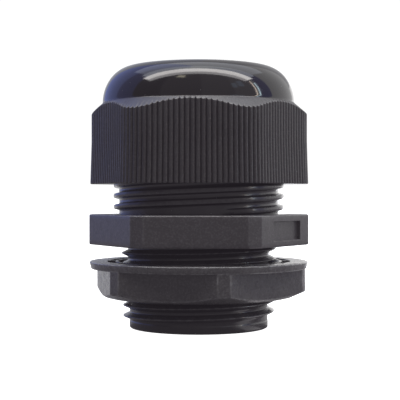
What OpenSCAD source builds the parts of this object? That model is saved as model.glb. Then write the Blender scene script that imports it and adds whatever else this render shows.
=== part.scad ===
// Nylon cable gland with a 1 inch tapered entry thread, a clamping claw, a sealing insert,
// a ribbed dome nut and a flanged lock nut. Millimetres, +Z towards the dome, Z = 0 at the
// end of the entry thread. The faces of the body's hexagon look along -Y and +Y.

/* [Gland body] */
// Width across the flats of the body's hexagon
hex_af = 42; // [41:0.5:43]
// Width across the cut corners of the body's hexagon
hex_ac = 46.7; // [46:0.1:47.2]
// Height of the underside of the body's hexagon
hex_z = 17.6; // [17:0.1:18.2]
// Thickness of the body's hexagon
hex_h = 6.5; // [6:0.1:7]
// Height of the mouth of the body, where the claw sits
body_top = 39; // [38.8:0.1:39.2]
// Radius of the cable passage in the body
passage_r = 13; // [12.7:0.1:13.2]

/* [Entry thread] */
// Pitch of the entry thread, 11.5 turns in an inch
entry_pitch = 2.209; // [2.209, 2.309]
// Radius of the crest of the entry thread at Z = 0
entry_crest_r = 16.05; // [15.9:0.05:16.2]
// Radius of the root of the entry thread at Z = 0
entry_root_r = 14.62; // [14.5:0.02:14.7]
// Radius of the plain spigot at the end of the entry thread
spigot_r = 14.85; // [14.75:0.05:14.95]
// Length of the plain spigot
spigot_l = 1.7; // [1.5:0.1:2]

/* [Nut thread] */
// Distance between the ridges of the thread that carries the dome nut
nut_pitch = 2.3; // [2.25:0.05:2.4]
// Number of ridges wound side by side on the nut thread
nut_starts = 2; // [1:1:2]
// Radius of the crest of the body's thread for the dome nut
nut_crest_r = 18.17; // [18.05:0.01:18.25]
// Radius of the root of the body's thread for the dome nut
nut_root_r = 17; // [16.9:0.05:17.1]
// Radial play between the dome nut's thread and the body's thread
thread_play = 0.3; // [0.2:0.05:0.35]

/* [Dome nut] */
// Width across the flats of the dome nut, over its ribs
dome_af = 42; // [41.5:0.1:42.5]
// Width across the rounded corners of the dome nut
dome_ac = 46.2; // [45.9:0.1:46.5]
// Height of the lower edge of the dome nut's skirt
skirt_z = 30.5; // [30:0.1:31]
// Height of the top of the dome
dome_top = 55.5; // [55.3:0.1:55.8]
// Radius of the dome at its foot
dome_r = 20.4; // [20.2:0.1:20.5]
// Height of the dome's foot
dome_foot_z = 47.6; // [47.4:0.1:47.8]
// Radius of the cable hole in the dome
dome_hole_r = 12.9; // [12.7:0.1:13]
// Number of grip ribs on each of the dome nut's six faces
ribs_per_face = 22; // [12:1:24]
// Depth of the grooves between the grip ribs
rib_depth = 0.38; // [0.2:0.02:0.45]

/* [Claw and seal] */
// Width of the slots between the fingers
finger_slot = 0.8; // [0.6:0.1:1]
// Height of the finger tips
finger_top = 47; // [46.6:0.1:47]
// Radius of the hole in the relaxed sealing insert
seal_bore_r = 12.5; // [11:0.1:12.6]

/* [Lock nut] */
// Width across the flats of the lock nut
lock_af = 41.1; // [40.5:0.1:41.5]
// Width across the cut corners of the lock nut
lock_ac = 45.94; // [45.8:0.02:46]
// Radius of the lock nut's flange
flange_r = 23.3; // [23.1:0.1:23.5]
// Height of the lock nut's lower face
lock_z = 6.5; // [6:0.1:7]
// Thickness of the lock nut with its flange
lock_h = 7.65; // [7.4:0.05:8]
// Thickness of the lock nut's flange
flange_h = 1.5; // [1.3:0.1:1.8]
// Radius of the lock nut's bore
lock_bore_r = 16.85; // [16.75:0.05:16.95]
// Number of coring pockets in the lock nut's flange face
lock_pockets = 12; // [8:1:16]

/* [Turned places] */
// Turn of the dome nut about the axis, from the body's hexagon
dome_turn = -3.1; // [-30:0.1:30]
// Turn of the lock nut about the axis, from the body's hexagon
lock_turn = -16; // [-30:0.1:30]

/* [Hidden] */

$fn = 96;
over = 1; // how far cutting shapes reach past the surface they cut
nylon_black = [0.17, 0.165, 0.175];
nylon_grey = [0.30, 0.30, 0.31];
rubber_black = [0.09, 0.09, 0.095];

// Entry thread: a tapered pipe thread grows 1 in 16 on its diameter
entry_taper = 1 / 32;
entry_ridge_w = [1.5, 0.22];
entry_ridge_clear = 0.5;
entry_ridge_z = [spigot_l + entry_ridge_clear, hex_z - entry_ridge_clear];
entry_ridge_start = 120;
spigot_edge = 0.5;

// Thread between the body and the dome nut
nut_lead = nut_pitch * nut_starts;
nut_ridge_w = [1.25, 0.8];
nut_ridge_z = [hex_z + hex_h + 0.8, body_top - 0.9];
nut_ridge_start = -55;
female_root_r = nut_crest_r + thread_play;
female_crest_r = nut_root_r + thread_play;
female_ridge_w = [0.75, 0.4];
female_ridge_l = 10.8;
female_ridge_foot = 1.6;

// Threads
thread_sides = 40;
thread_sunk = 0.3;
thread_runout = 0.15;
thread_end_rise = 0.05;

// Seats in the mouth of the body
claw_seat_r = 15.6;
claw_seat_z = body_top - 4;
seal_seat_r = 14.72;
seal_seat_z = body_top - 6;

// Claw and seal, one above the other
gap = 0.05;
finger_count = 16;
finger_gap = 0.2;
claw_in_r = 14.75;
claw_skirt_r = 15.5;
claw_rim_r = 16.8;
claw_rim_h = 1.25;
claw_rim_z = [body_top + gap, body_top + gap + claw_rim_h];
finger_in_r = 14.85;
finger_z = claw_rim_z[1] + finger_gap;
finger_out_r = 16.5;
finger_tip_r = 15.5;
finger_tip_h = 0.9;
seal_foot_r = 14.6;
seal_tip_r = 13.4;
seal_foot_l = 7.75;
seal_z = [seal_seat_z + gap, seal_seat_z + gap + seal_foot_l, finger_top - 0.6];
seal_lip_h = 0.8;

// Inside of the dome nut
cone_z = [51, 54];
cone_r = [17.4, 13.6];
thread_room_z = [49, 50];
skirt_bore_r = female_root_r + 0.25;
skirt_bore_z = [skirt_z + 1.2, skirt_z + 1.5];

// Outside of the dome nut: flat stretches joined by rounded corners
corner_r = (dome_af / sqrt(3) - dome_ac / 2) / (2 / sqrt(3) - 1);
flat_half = (dome_af / 2 - corner_r) * tan(30);
arc_half = corner_r * PI / 6;
sector_len = 2 * (flat_half + arc_half);
shoulder_slope = 0.83;
shoulder_z = dome_foot_z - shoulder_slope * (dome_af / 2 - dome_r);
dome_crest_r = 13.7;
lip_steps = 6;
dome_steps = 12;

// Coring pockets of the lock nut and the recess in the body's hexagon
pocket_r = [17.8, 19.5];
pocket_depth = 4;
pocket_rib_w = 0.9;
lock_chamfer = [[19, 0], [20.3, 0.35], [flange_r + over, 2.1]];
flange_draft = 0.35;
recess_w = 11.8;
recess_h = 3.9;
recess_depth = 0.75;
recess_shift = 0.45;
recess_angles = [-30, 150];

// A hexagon of apothem af / 2 whose corners are cut off at ac / 2
function cut_hexagon(af, ac) = [
    for (k = [0:5], s = [-1, 1])
        let (half = ac - af * sqrt(3) / 2, a = -90 + 60 * k)
        [af / 2 * cos(a) - s * half * sin(a), af / 2 * sin(a) + s * half * cos(a)]
];

// A point of the dome nut's outline, moved inwards by depth: s runs along one sector from
// the middle of its face
function rim_point(s, depth) =
    let (side = s < 0 ? -1 : 1, d = abs(s), round_s = d - flat_half)
    round_s <= 0
        ? [dome_af / 2 - depth, s]
        : let (a = round_s / corner_r * 180 / PI, r = corner_r - depth)
          [dome_af / 2 - corner_r + r * cos(a), side * (flat_half + r * sin(a))];

function turned(p, a) = [p.x * cos(a) - p.y * sin(a), p.x * sin(a) + p.y * cos(a)];

// The ribbed outline: each rib is one crest point and one groove point
function ribbed_outline() = [
    for (k = [0:5], i = [0:2 * ribs_per_face - 1])
        let (s = (i + 0.5 - ribs_per_face) / (2 * ribs_per_face) * sector_len)
        turned(rim_point(s, i % 2 == 0 ? 0 : rib_depth), -90 + 60 * k)
];

// One ridge of a right-hand thread. It starts at the angle start and winds from z_span[0] to
// z_span[1]; w holds its widths at the root and at the crest. Its foot is sunk in the wall by
// thread_sunk, and it runs out into the wall at both ends.
module thread_ridge(lead, z_span, start, root_r, crest_r, w, taper = 0) {
    turns = (z_span[1] - z_span[0]) / lead;
    steps = ceil(turns * thread_sides);
    outward = crest_r > root_r ? 1 : -1;
    foot_r = root_r - outward * thread_sunk;
    foot_w = w[0] + (w[0] - w[1]) * thread_sunk / abs(crest_r - root_r);
    section = [[0, -foot_w / 2], [1, -w[1] / 2], [1, w[1] / 2], [0, foot_w / 2]];
    order = outward > 0 ? [0, 1, 2, 3] : [3, 2, 1, 0];
    points = [
        for (i = [0:steps], k = order)
            let (
                t = i / steps,
                z = z_span[0] + t * (z_span[1] - z_span[0]),
                rise = min(1, t * turns / thread_runout, (1 - t) * turns / thread_runout),
                high = foot_r + (crest_r - foot_r) * max(thread_end_rise, rise),
                r = (section[k][0] == 0 ? foot_r : high) + taper * z,
                a = start + 360 * turns * t
            )
            [r * cos(a), r * sin(a), z + section[k][1]]
    ];
    sides = [
        for (i = [0:steps - 1], k = [0:3])
            let (a = 4 * i + k, b = 4 * i + (k + 1) % 4)
            each [[a, b, b + 4], [a, b + 4, a + 4]]
    ];
    last = 4 * steps;
    ends = [[3, 2, 1, 0], [last, last + 1, last + 2, last + 3]];
    polyhedron(points, concat(sides, ends));
}

// A shallow rectangular recess in the face of the body's hexagon at angle a
module face_recess(a) {
    rotate([0, 0, a])
        translate([hex_af / 2 - recess_depth, recess_shift - recess_w / 2, hex_z + (hex_h - recess_h) / 2])
            cube([recess_depth + over, recess_w, recess_h]);
}

module gland_body() {
    color(nylon_black)
    difference() {
        union() {
            rotate_extrude()
                polygon([
                    [0, 0], [spigot_r - spigot_edge, 0], [spigot_r, spigot_edge],
                    [spigot_r, spigot_l], [entry_root_r + entry_taper * spigot_l, spigot_l],
                    [entry_root_r + entry_taper * (hex_z + over), hex_z + over],
                    [nut_root_r, hex_z + over], [nut_root_r, body_top], [0, body_top]
                ]);
            translate([0, 0, hex_z])
                linear_extrude(hex_h)
                    polygon(cut_hexagon(hex_af, hex_ac));
            thread_ridge(entry_pitch, entry_ridge_z, entry_ridge_start,
                entry_root_r, entry_crest_r, entry_ridge_w, entry_taper);
            for (i = [0:nut_starts - 1])
                thread_ridge(nut_lead, nut_ridge_z, nut_ridge_start + i * 360 / nut_starts,
                    nut_root_r, nut_crest_r, nut_ridge_w);
        }
        rotate_extrude()
            polygon([
                [0, -over], [passage_r, -over], [passage_r, seal_seat_z],
                [seal_seat_r, seal_seat_z], [seal_seat_r, claw_seat_z],
                [claw_seat_r, claw_seat_z], [claw_seat_r, body_top + over],
                [0, body_top + over]
            ]);
        for (a = recess_angles) face_recess(a);
    }
}

module claw_ring() {
    color(nylon_grey)
    rotate_extrude()
        polygon([
            [claw_in_r, claw_seat_z + gap], [claw_skirt_r, claw_seat_z + gap],
            [claw_skirt_r, claw_rim_z[0]], [claw_rim_r, claw_rim_z[0]],
            [claw_rim_r, claw_rim_z[1]], [claw_in_r, claw_rim_z[1]]
        ]);
}

// Finger i of the claw, cut from a ring by two planes that leave half a slot on each side
module claw_finger(i) {
    step = 360 / finger_count;
    middle = (finger_in_r + finger_out_r) / 2;
    half = step / 2 - asin(finger_slot / 2 / middle);
    color(nylon_grey)
    rotate([0, 0, i * step - half])
        rotate_extrude(angle = 2 * half)
            polygon([
                [finger_in_r, finger_z], [finger_out_r, finger_z],
                [finger_out_r, finger_top - finger_tip_h], [finger_tip_r, finger_top],
                [finger_in_r, finger_top]
            ]);
}

module seal_insert() {
    color(rubber_black)
    rotate_extrude()
        polygon([
            [seal_bore_r, seal_z[0] + seal_lip_h], [seal_bore_r + seal_lip_h, seal_z[0]],
            [seal_foot_r, seal_z[0]], [seal_foot_r, seal_z[1]], [seal_tip_r, seal_z[2]],
            [seal_bore_r + seal_lip_h / 2, seal_z[2]], [seal_bore_r, seal_z[2] - seal_lip_h]
        ]);
}

// Outer profile of the dome nut, from the skirt's outside up over the dome to the lip
function dome_profile() = [
    [dome_ac / 2 + over, skirt_z],
    [dome_ac / 2 + over, shoulder_z - shoulder_slope * (dome_ac / 2 + over - dome_af / 2)],
    for (i = [0:dome_steps])
        let (a = 90 * i / dome_steps)
        [dome_crest_r + (dome_r - dome_crest_r) * cos(a),
         dome_foot_z + (dome_top - dome_foot_z) * sin(a)],
    for (i = [1:lip_steps])
        let (a = 90 * i / lip_steps, lip_r = dome_crest_r - dome_hole_r)
        [dome_crest_r - lip_r * sin(a), dome_top - lip_r * (1 - cos(a))]
];

module dome_nut() {
    color(nylon_black)
    union() {
        difference() {
            intersection() {
                rotate([0, 0, dome_turn])
                    translate([0, 0, skirt_z])
                        linear_extrude(dome_top)
                            polygon(ribbed_outline());
                rotate_extrude()
                    polygon(concat([[0, skirt_z]], dome_profile(), [[0, cone_z[1]]]));
            }
            rotate_extrude()
                polygon([
                    [0, skirt_z - over], [skirt_bore_r, skirt_z - over],
                    [skirt_bore_r, skirt_bore_z[0]], [female_root_r, skirt_bore_z[1]],
                    [female_root_r, thread_room_z[0]], [cone_r[0], thread_room_z[1]],
                    [cone_r[0], cone_z[0]], [cone_r[1], cone_z[1]], [dome_hole_r, cone_z[1]],
                    [dome_hole_r, dome_top + over], [0, dome_top + over]
                ]);
        }
        for (i = [0:nut_starts - 1])
            female_ridge(nut_ridge_start + i * 360 / nut_starts);
    }
}

// One ridge inside the dome nut. It starts at the angle start, at the lowest place above
// female_ridge_foot that lies half a pitch above one of the body's ridges.
module female_ridge(start) {
    lowest = skirt_z + female_ridge_foot;
    mesh_z = nut_ridge_z[0] + nut_pitch / 2;
    foot_z = mesh_z + nut_pitch * ceil((lowest - mesh_z) / nut_pitch);
    thread_ridge(nut_lead, [foot_z, foot_z + female_ridge_l], start,
        female_root_r, female_crest_r, female_ridge_w);
}

module lock_nut() {
    color(nylon_black)
    difference() {
        union() {
            intersection() {
                rotate([0, 0, lock_turn])
                    translate([0, 0, lock_z])
                        linear_extrude(lock_h - flange_h / 2)
                            polygon(cut_hexagon(lock_af, lock_ac));
                translate([0, 0, lock_z])
                    rotate_extrude()
                        polygon(concat(
                            [[0, 0]], lock_chamfer, [[flange_r + over, lock_h], [0, lock_h]]
                        ));
            }
            translate([0, 0, lock_z + lock_h - flange_h])
                cylinder(r1 = flange_r - flange_draft, r2 = flange_r, h = flange_h);
        }
        translate([0, 0, lock_z - over])
            cylinder(r = lock_bore_r, h = lock_h + 2 * over);
        for (i = [0:lock_pockets - 1]) lock_pocket(i);
    }
}

// One of the pockets around the lock nut's flange face, between two radial ribs
module lock_pocket(i) {
    step = 360 / lock_pockets;
    half = step / 2 - asin(pocket_rib_w / 2 / pocket_r[0]);
    rotate([0, 0, lock_turn + i * step - half])
        translate([0, 0, lock_z + lock_h - pocket_depth])
            rotate_extrude(angle = 2 * half)
                polygon([
                    [pocket_r[0], 0], [pocket_r[1], 0],
                    [pocket_r[1], pocket_depth + over], [pocket_r[0], pocket_depth + over]
                ]);
}

gland_body();
claw_ring();
seal_insert();
dome_nut();
lock_nut();
claw_finger(0);  // claw_finger_01
claw_finger(1);  // claw_finger_02
claw_finger(2);  // claw_finger_03
claw_finger(3);  // claw_finger_04
claw_finger(4);  // claw_finger_05
claw_finger(5);  // claw_finger_06
claw_finger(6);  // claw_finger_07
claw_finger(7);  // claw_finger_08
claw_finger(8);  // claw_finger_09
claw_finger(9);  // claw_finger_10
claw_finger(10);  // claw_finger_11
claw_finger(11);  // claw_finger_12
claw_finger(12);  // claw_finger_13
claw_finger(13);  // claw_finger_14
claw_finger(14);  // claw_finger_15
claw_finger(15);  // claw_finger_16
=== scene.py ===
"""Looks of the cable gland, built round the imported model. Run by Blender 4.5.

Shapes are worked out in millimetres and written to the meshes in metres. Angles are in degrees
about the Z axis from +X, unless a name says otherwise.
"""

import math

import bpy
import bmesh
import numpy as np
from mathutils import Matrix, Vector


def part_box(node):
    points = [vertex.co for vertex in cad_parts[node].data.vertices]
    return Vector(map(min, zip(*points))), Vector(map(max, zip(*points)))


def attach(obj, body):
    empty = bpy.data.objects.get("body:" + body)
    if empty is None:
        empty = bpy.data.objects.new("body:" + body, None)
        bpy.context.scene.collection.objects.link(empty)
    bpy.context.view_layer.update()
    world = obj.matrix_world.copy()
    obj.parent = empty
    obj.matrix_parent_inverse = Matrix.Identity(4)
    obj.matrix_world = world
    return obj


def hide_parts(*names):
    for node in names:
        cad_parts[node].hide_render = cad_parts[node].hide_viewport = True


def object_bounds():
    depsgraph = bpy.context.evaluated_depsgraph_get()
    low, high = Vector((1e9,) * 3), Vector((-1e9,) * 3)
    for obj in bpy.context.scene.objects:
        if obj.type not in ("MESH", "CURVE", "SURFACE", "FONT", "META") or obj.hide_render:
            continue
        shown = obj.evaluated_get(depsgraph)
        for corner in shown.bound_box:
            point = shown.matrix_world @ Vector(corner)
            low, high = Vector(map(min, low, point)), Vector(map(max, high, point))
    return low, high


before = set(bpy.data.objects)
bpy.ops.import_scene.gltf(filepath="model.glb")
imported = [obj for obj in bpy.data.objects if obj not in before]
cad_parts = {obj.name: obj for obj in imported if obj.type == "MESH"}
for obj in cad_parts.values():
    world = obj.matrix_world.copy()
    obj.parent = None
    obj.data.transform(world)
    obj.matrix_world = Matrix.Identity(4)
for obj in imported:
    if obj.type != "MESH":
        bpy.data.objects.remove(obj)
cad_low, cad_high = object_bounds()

MM = 0.001
TURN = 360.0
MERGE_MM = 0.0003
SHARP_EDGE = 40.0
# Point attribute that turns edges and thread crests pale: partly wear, partly a painted highlight
WEAR_AND_HIGHLIGHT = "wear_and_highlight"


def span(node):
    """Lowest and highest corner of a CAD node, in millimetres."""
    low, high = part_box(node)
    return np.array(low) / MM, np.array(high) / MM


BODY_LOW, BODY_HIGH = span("gland_body")
NUT_LOW, NUT_HIGH = span("dome_nut")
LOCK_LOW, LOCK_HIGH = span("lock_nut")
RING_LOW, RING_HIGH = span("claw_ring")
SEAL_LOW, SEAL_HIGH = span("seal_insert")
FINGER_LOW, FINGER_HIGH = span("claw_finger_01")
FINGERS = sorted(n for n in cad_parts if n.startswith("claw_finger"))

# Edges of the hexagons: how sharply faces meet, degrees from an edge where columns of points
# stand, and the width in degrees of its wear and painted highlight
EDGE_SHARPNESS = 650.0
EDGE_STEPS = (-0.8, -0.45, -0.25, -0.12, 0.0, 0.12, 0.25, 0.45, 0.8)
EDGE_WEAR_AND_HIGHLIGHT_WIDTH = 0.45

# Gland body
HEX_AF = 42.0
HEX_AC = BODY_HIGH[0] - BODY_LOW[0]
HEX_Z = 17.6
HEX_H = 6.5
HEX_BEVEL = 0.34
BEVEL_TURNS = (0, 22, 45, 68, 90)
BODY_TOP = BODY_HIGH[2]
PASSAGE_R = 13.0
SEAL_SEAT = (14.72, 33.0)
CLAW_SEAT = (15.6, 35.0)
MOUTH_BEVEL = 0.35
SPIGOT_R = 14.76
SPIGOT_L = 1.7
SPIGOT_ROUND = 0.4
RECESS_W = 11.8
RECESS_H = 3.9
RECESS_DEPTH = 0.75
RECESS_SHIFT = 0.45
RECESS_WALL = 0.1
RECESS_FACES = (-30.0, 150.0)
RECESS_SIDE_STEPS = (-0.3, -0.16, -0.08, 0.0, 0.08, 0.16, 0.3)
RECESS_RIM_STEPS = (-0.3, -0.12, -0.06, 0.0, 0.06, 0.12, 0.3)
RECESS_RIM = 0.2

# Threads: lead and starts, height of the first ridge's middle at +X, radii at Z = 0 and their
# growth with Z, the ridge's widths and the rounding of its corners, the wound angles where it
# begins and ends and the angle over which it fades out, and the wear of its crest, which is
# partly a painted highlight
ENTRY = dict(lead=2.209, starts=1, z_ref=1.464, root_r=14.62, crest_r=16.03, taper=1 / 32,
             root_w=1.5, crest_w=0.24, soft=0.14, first=95.0, last=2590.0, runout=50.0,
             wear_and_highlight=0.55)
UPPER = dict(lead=4.6, starts=2, z_ref=25.603, root_r=17.0, crest_r=18.16, taper=0.0,
             root_w=1.34, crest_w=0.86, soft=0.4, first=-74.0, last=985.0, runout=24.0,
             wear_and_highlight=0.12)

# Dome nut
NUT_AF = 42.0
NUT_AC = 46.2
NUT_TURN = -3.1
NUT_TOP = NUT_HIGH[2]
SKIRT_Z = NUT_LOW[2]
SKIRT_EDGE = 0.2
SKIRT_TOP_EDGE = 0.22
SKIRT_FLARE = (0.26, 39.5)
DOME_R = 20.5
DOME_FOOT_Z = 47.6
DOME_OVERHANG = 0.12
DOME_LIFT = 0.05
DOME_STEPS = 30
LIP_STEPS = 8
DOME_CREST_R = 13.9
DOME_HOLE_R = 12.9
SHOULDER_SLOPE = 0.83
RIBS_PER_FACE = 22
RIB_DEPTH = 0.42
RIB_POWER = 2.4
RIB_POINTS = (-0.5, -0.44, -0.37, -0.27, -0.14, 0.0, 0.14, 0.27, 0.37, 0.44)
SKIRT_BORE = (18.72, 1.2)
THREAD_ROOM_Z = (49.0, 50.0)
NUT_CONE = ((17.4, 51.0), (13.6, 54.0))
FEMALE = dict(lead=4.6, starts=2, z_ref=33.653, root_r=18.47, crest_r=17.3, taper=0.0,
              root_w=0.75, crest_w=0.4, soft=0.35, first=-55.0, last=790.0, runout=50.0,
              wear_and_highlight=0.2)

# Lock nut
LOCK_AF = 41.1
LOCK_AC = 45.94
LOCK_TURN = -16.0
LOCK_Z = LOCK_LOW[2]
LOCK_TOP = LOCK_HIGH[2]
FLANGE_R = LOCK_HIGH[0]
FLANGE_H = 1.5
FLANGE_DRAFT = 0.28
LOCK_BORE_R = 16.85
POCKET_R = (17.8, 19.5)
POCKET_DEPTH = 4.0
POCKETS = 12
POCKET_RIB = 0.9
CHAMFER_R = 20.3
CHAMFER_Z = 0.35
CHAMFER_SLOPE = 1.75 / 4
LOCK_FACE_R = 19.0
LOCK_LEAD_IN = 0.4
NICKS = 70
NICK_WIDTH = (0.5, 2.2)
NICK_DEPTH = (0.01, 0.07)
NICK_SEED = 7
LOCK_GROOVE = dict(lead=2.209, starts=1, z_ref=1.464, root_r=LOCK_BORE_R, crest_r=17.3,
                   taper=0.0, root_w=1.5, crest_w=0.3, soft=0.14, first=-360.0, last=3600.0,
                   runout=1.0, wear_and_highlight=0.2)

# Claw ring, seal and the claw's fingers
TURNED_COLUMNS = 240
FINGER_R = (14.85, 16.5)
FINGER_TIP_R = 15.5
FINGER_TIP_H = 0.9
FINGER_SLOT = 0.8
FINGER_EDGE = 0.16


# ---------------------------------------------------------------- mesh building


class Skin:
    """Gathers the points and faces of one closed skin, in millimetres."""

    def __init__(self):
        self.points = []
        self.wear_and_highlight = []
        self.total = 0
        self.faces = []

    def ring(self, points, wear_and_highlight=0.0):
        """Adds one ring of points, pale by 0 to 1 from wear and a painted highlight; returns their
        numbers.
        """
        self.points.append(np.asarray(points, float))
        self.wear_and_highlight.append(np.broadcast_to(wear_and_highlight, len(points)))
        first = self.total
        self.total += len(points)
        return np.arange(first, self.total)

    def strip(self, a, b):
        """Joins two rings with the same number of points."""
        a2, b2 = np.roll(a, -1), np.roll(b, -1)
        self.faces += np.stack([a, a2, b2, b], 1).tolist()

    def strips(self, rings):
        for a, b in zip(rings, rings[1:]):
            self.strip(a, b)

    def lace(self, a, b):
        """Joins two rings with different numbers of points, by triangles."""
        every = np.concatenate(self.points)
        (a, turn_a), (b, turn_b) = around(a, every[a]), around(b, every[b])
        i = j = 0
        while i < len(a) or j < len(b):
            next_a = turn_a[i + 1] if i < len(a) else math.inf
            next_b = turn_b[j + 1] if j < len(b) else math.inf
            if next_a <= next_b:
                self.faces.append([a[i], a[(i + 1) % len(a)], b[j % len(b)]])
                i += 1
            else:
                self.faces.append([a[i % len(a)], b[(j + 1) % len(b)], b[j]])
                j += 1

    def build(self, name, material, body, replaced):
        """Makes the object and lets it ride on its body in place of its CAD node."""
        mesh = bpy.data.meshes.new(name)
        mesh.from_pydata((np.concatenate(self.points) * MM).tolist(), [], self.faces)
        wear_and_highlight = mesh.attributes.new(WEAR_AND_HIGHLIGHT, "FLOAT", "POINT")
        wear_and_highlight.data.foreach_set("value", np.concatenate(self.wear_and_highlight).astype(np.float32))
        work = bmesh.new()
        work.from_mesh(mesh)
        bmesh.ops.remove_doubles(work, verts=work.verts, dist=MERGE_MM * MM)
        bmesh.ops.recalc_face_normals(work, faces=work.faces)
        work.to_mesh(mesh)
        work.free()
        mesh.shade_smooth()
        mesh.set_sharp_from_angle(angle=math.radians(SHARP_EDGE))
        mesh.materials.append(material)
        piece = bpy.data.objects.new(name, mesh)
        bpy.context.scene.collection.objects.link(piece)
        weighted = piece.modifiers.new("even normals", "WEIGHTED_NORMAL")
        weighted.keep_sharp = True
        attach(piece, body)
        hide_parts(replaced)


def around(ring, points):
    """A ring that starts from +X, and the turn of each of its points about Z, up to a full turn."""
    turn = np.degrees(np.arctan2(points[:, 1], points[:, 0])) % TURN
    start = int(np.argmin(turn))
    turn = np.roll(turn, -start)
    return np.roll(ring, -start), np.append(turn, turn[0] + TURN)


def at(angles, r, z):
    """Points at these angles, radii and heights."""
    a = np.radians(angles)
    r = np.broadcast_to(r, a.shape)
    return np.stack([r * np.cos(a), r * np.sin(a), np.broadcast_to(z, a.shape)], -1)


def rounded(corners, steps=4):
    """A profile through corners given as (r, z) or (r, z, rounding radius)."""
    out = []
    for i, corner in enumerate(corners):
        p = np.array(corner[:2], float)
        if len(corner) < 3 or i in (0, len(corners) - 1):
            out.append(tuple(p))
            continue
        to_a = np.array(corners[i - 1][:2], float) - p
        to_b = np.array(corners[i + 1][:2], float) - p
        to_a /= np.linalg.norm(to_a)
        to_b /= np.linalg.norm(to_b)
        half = math.acos(np.clip(to_a @ to_b, -1, 1)) / 2
        centre = p + (to_a + to_b) / np.linalg.norm(to_a + to_b) * corner[2] / math.sin(half)
        start = p + to_a * corner[2] / math.tan(half) - centre
        end = p + to_b * corner[2] / math.tan(half) - centre
        for k in range(steps + 1):
            arm = start * (1 - k / steps) + end * (k / steps)
            out.append(tuple(centre + arm / np.linalg.norm(arm) * corner[2]))
    return out


def merged(*lists):
    """Angles from several lists, in rising order within one turn, without near doubles."""
    every = np.sort(np.concatenate([np.ravel(x) for x in lists]) % TURN)
    return every[np.append(True, np.diff(every) > 0.02)]


def smooth_clamp(x, soft):
    """x held between 0 and 1, with both corners rounded off over soft."""
    low = np.maximum(x, 0) + np.maximum(soft - np.abs(x), 0) ** 2 / (4 * soft)
    return np.minimum(low, 1) - np.maximum(soft - np.abs(low - 1), 0) ** 2 / (4 * soft)


def smooth_step(x):
    """0 below 0, 1 above 1, and a smooth change between."""
    x = np.clip(x, 0, 1)
    return x * x * (3 - 2 * x)


def thread_rise(t, angles, z):
    """How far up the ridge a threaded surface is at each angle and height, from 0 to 1."""
    z = np.asarray(z, float)
    rise = np.zeros(np.broadcast(angles, z).shape)
    for start in range(t["starts"]):
        first = t["z_ref"] + t["lead"] * (angles / TURN - start / t["starts"])
        turns = np.round((z - first) / t["lead"])
        away = z - first - turns * t["lead"]
        wound = angles + TURN * turns - start * TURN / t["starts"]
        flank = (t["root_w"] - t["crest_w"]) / 2
        height = smooth_clamp((t["root_w"] / 2 - np.abs(away)) / flank, t["soft"])
        height = height * smooth_step((wound - t["first"]) / t["runout"])
        height = height * smooth_step((t["last"] - wound) / t["runout"])
        rise = np.maximum(rise, height)
    return rise


def thread_ring(skin, t, angles, z):
    """Adds one ring of points of a threaded surface, with a little wear and a painted highlight
    along the crest.
    """
    rise = thread_rise(t, angles, z)
    r = t["root_r"] + t["taper"] * z + (t["crest_r"] - t["root_r"]) * rise
    return skin.ring(at(angles, r, z), t["wear_and_highlight"] * smooth_step((rise - 0.8) / 0.2))


def thread_patch(skin, t, angles, z_low, z_high):
    """Adds a threaded surface whose rows follow the thread. Returns its lowest and highest ring."""
    pitch = t["lead"] / t["starts"]
    flank = (t["root_w"] - t["crest_w"]) / 2
    soft = t["soft"]
    marks = (-1.2 * soft, -0.3 * soft, 0.5 * soft, 1 - 0.6 * soft, 1 + 0.2 * soft)
    half = [t["root_w"] / 2 - m * flank for m in marks]
    half = [h for h in half if h > 0] + [0.0]
    offsets = sorted({-pitch / 2} | {round(s * h, 5) for h in half for s in (-1, 1)})
    rows_per_lead = [k * pitch + o for k in range(t["starts"]) for o in offsets]
    count = len(rows_per_lead)
    lowest = math.floor((z_low - t["z_ref"]) / t["lead"]) - 2
    highest = math.ceil((z_high - t["z_ref"]) / t["lead"]) + 2
    rings = []
    for lap in range(lowest, highest):
        for o in rows_per_lead:
            z = t["z_ref"] + t["lead"] * (lap + angles / TURN) + o
            z = np.clip(z, z_low, z_high)
            rings.append(thread_ring(skin, t, angles, z))
    for k in range(len(rings) - 1 - count):
        a, b = rings[k], rings[k + 1]
        a2 = np.append(a[1:], rings[k + count][0])
        b2 = np.append(b[1:], rings[k + count + 1][0])
        skin.faces += np.stack([a, a2, b2, b], 1).tolist()
    return thread_ring(skin, t, angles, z_low), thread_ring(skin, t, angles, z_high)


def cut_hexagon_r(angles, af, ac, turn, inset=0.0):
    """Radius of a hexagon with cut corners and slightly rounded edges, moved in by inset."""
    faces = np.arange(6) * 60.0 - 90.0 + turn
    normals = np.concatenate([faces, faces + 30.0])
    reach = np.repeat([af / 2 - inset, ac / 2 - inset], 6)
    facing = np.cos(np.radians(angles[:, None] - normals))
    inverse = np.maximum(facing, 1e-3) / reach
    peak = inverse.max(1, keepdims=True)
    blend = ((inverse / peak) ** EDGE_SHARPNESS).sum(1) ** (1 / EDGE_SHARPNESS)
    return 1 / (peak[:, 0] * blend)


def hexagon_edges(af, ac, turn):
    """Angles of the twelve upright edges of a cut hexagon."""
    half = math.degrees(math.atan((ac - af * math.sqrt(3) / 2) / (af / 2)))
    return np.array([60 * k - 90 + turn + s * half for k in range(6) for s in (-1, 1)])


def near(angles, offsets):
    """Every angle with every offset added."""
    return np.add.outer(np.asarray(angles, float), np.asarray(offsets, float))


# ---------------------------------------------------------------- pieces


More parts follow.
